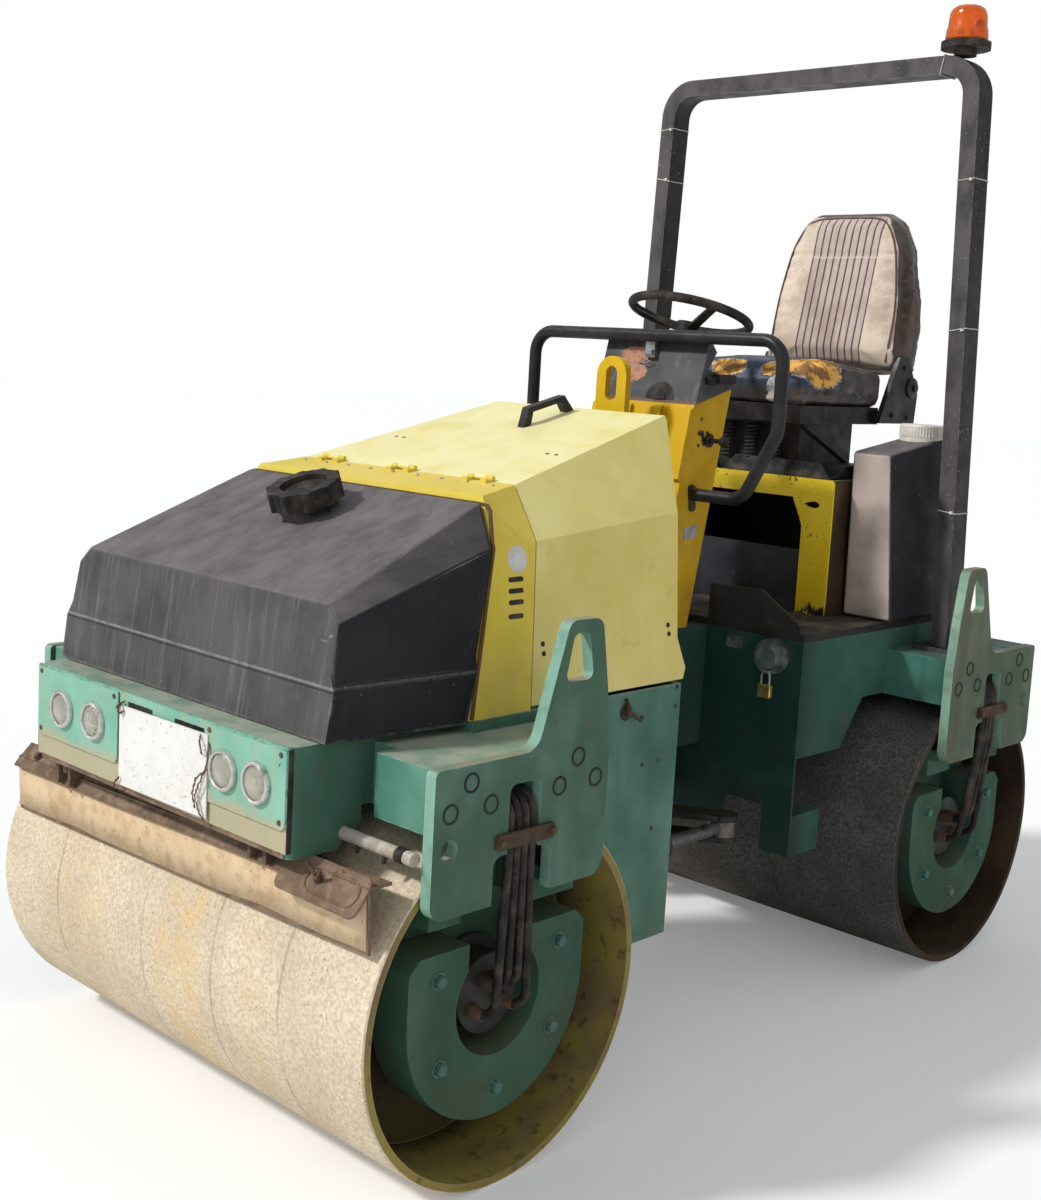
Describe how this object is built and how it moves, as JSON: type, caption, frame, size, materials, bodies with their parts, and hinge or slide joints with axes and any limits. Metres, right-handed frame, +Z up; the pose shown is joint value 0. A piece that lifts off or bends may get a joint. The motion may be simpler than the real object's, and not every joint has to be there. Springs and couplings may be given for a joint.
{
  "type": "tandem road roller",
  "caption": "Articulated tandem road roller with two smooth steel drums, horseshoe drum carriers, lifting-ear side plates, sloping hood, open operator station and roll-over hoop.",
  "frame": {"origin": "on the ground midway between the two drum axles, at the centre pivot's axis", "axes": "+X towards the machine's left side, +Y towards its rear, +Z up; the machine faces -Y"},
  "size_m": [1.386, 2.686, 2.6326],
  "materials": {
    "amber": "amber beacon lens",
    "black_paint": "worn black enamel",
    "brass": "padlock brass",
    "cap_plastic": "black moulded cap",
    "cast": "dark casting with grease",
    "cushion_fabric": "dark blue-grey cloth, torn",
    "drum_steel": "rolled steel with dust and rust",
    "frame_paint": "worn teal-green enamel",
    "hood_paint": "sun-faded cream-yellow enamel",
    "hose_rubber": "dark brown hose",
    "lamp": "clear lamp in a bright bezel",
    "motor": "greasy dark paint",
    "panel_paint": "faded mint-green enamel",
    "rod_steel": "hard chrome rod",
    "seat_fabric": "pinstriped grey-beige cloth",
    "tank_plastic": "dark moulded polyethylene",
    "white_paint": "dirty white enamel",
    "white_plastic": "white moulded cap",
    "yellow_paint": "worn yellow enamel"
  },
  "bodies": {
    "front_half": {"front_frame": "frame_paint", "front_side_plates": "frame_paint", "front_carriers": "frame_paint", "front_hub_motors": "motor", "front_hoses": "hose_rubber", "front_hose_clamps": "motor", "front_spray_bar": "white_paint", "front_scraper": "motor", "front_panel": "panel_paint", "front_lamps": "lamp", "blank_plate": "white_paint", "water_tank": "tank_plastic", "tank_cap": "cap_plastic", "hood_cover": "yellow_paint", "engine": "cast"},
    "hood": {"hood": "hood_paint", "hood_handle": "black_paint"},
    "front_drum": {"front_drum": "drum_steel"},
    "link": {"pivot_link": "cast"},
    "rear_half": {"rear_frame": "frame_paint", "rear_side_plates": "frame_paint", "rear_carriers": "frame_paint", "rear_hub_motors": "motor", "rear_hoses": "hose_rubber", "rear_hose_clamps": "motor", "rear_spray_bar": "white_paint", "rear_scraper": "motor", "rear_panel": "panel_paint", "rear_lamps": "lamp", "platform": "black_paint", "seat_stand": "yellow_paint", "seat_base": "black_paint", "seat_cushion": "cushion_fabric", "seat_back": "seat_fabric", "side_tanks": "tank_plastic", "side_tank_cap": "white_plastic", "console": "yellow_paint", "lifting_eye": "yellow_paint", "instrument_hood": "tank_plastic", "steering_column": "black_paint", "guard_rail": "black_paint", "control_levers": "cap_plastic", "rops": "black_paint", "rops_feet": "black_paint", "beacon_base": "cap_plastic", "beacon_lens": "amber", "filler_cap": "brass"},
    "rear_drum": {"rear_drum": "drum_steel"},
    "steering_wheel": {"steering_wheel": "cap_plastic"},
    "cylinder_barrel": {"cylinder_barrel": "motor"},
    "cylinder_rod": {"cylinder_rod": "rod_steel"}
  },
  "joints": [
    {"name": "front_drum_spin", "type": "hinge", "parent": "front_half", "child": "front_drum", "pos_m": [0, -0.917, 0.375], "axis": [1, 0, 0], "continuous": true},
    {"name": "steering", "type": "hinge", "parent": "front_half", "child": "link", "pos_m": [0, 0, 0.5], "axis": [0, 0, 1], "range_deg": [-30, 30]},
    {"name": "swing", "type": "hinge", "parent": "link", "child": "rear_half", "pos_m": [0, 0.2, 0.535], "axis": [0, 1, 0], "range_deg": [-6, 6]},
    {"name": "hood_hinge", "type": "hinge", "parent": "front_half", "child": "hood", "pos_m": [0, -0.673, 1.369], "axis": [1, 0, 0], "range_deg": [0, 60]},
    {"name": "rear_drum_spin", "type": "hinge", "parent": "rear_half", "child": "rear_drum", "pos_m": [0, 0.917, 0.375], "axis": [1, 0, 0], "continuous": true},
    {"name": "steering_wheel_turn", "type": "hinge", "parent": "rear_half", "child": "steering_wheel", "pos_m": [0, 0.345, 1.769], "axis": [0, 0.2672, 0.9636], "continuous": true},
    {"name": "cylinder_swing", "type": "hinge", "parent": "front_half", "child": "cylinder_barrel", "pos_m": [0.33, -0.466, 0.44], "axis": [0, 0, 1], "range_deg": [-8.7, 8.7]},
    {"name": "cylinder_slide", "type": "slide", "parent": "cylinder_barrel", "child": "cylinder_rod", "axis": [0, 1, 0], "range_m": [-0.171, 0.171]}
  ],
  "couplings": [
    {"joint": "cylinder_swing", "follows": "steering", "ratio": 0.2872},
    {"joint": "cylinder_slide", "follows": "steering", "m_per_rad": 0.3244}
  ]
}
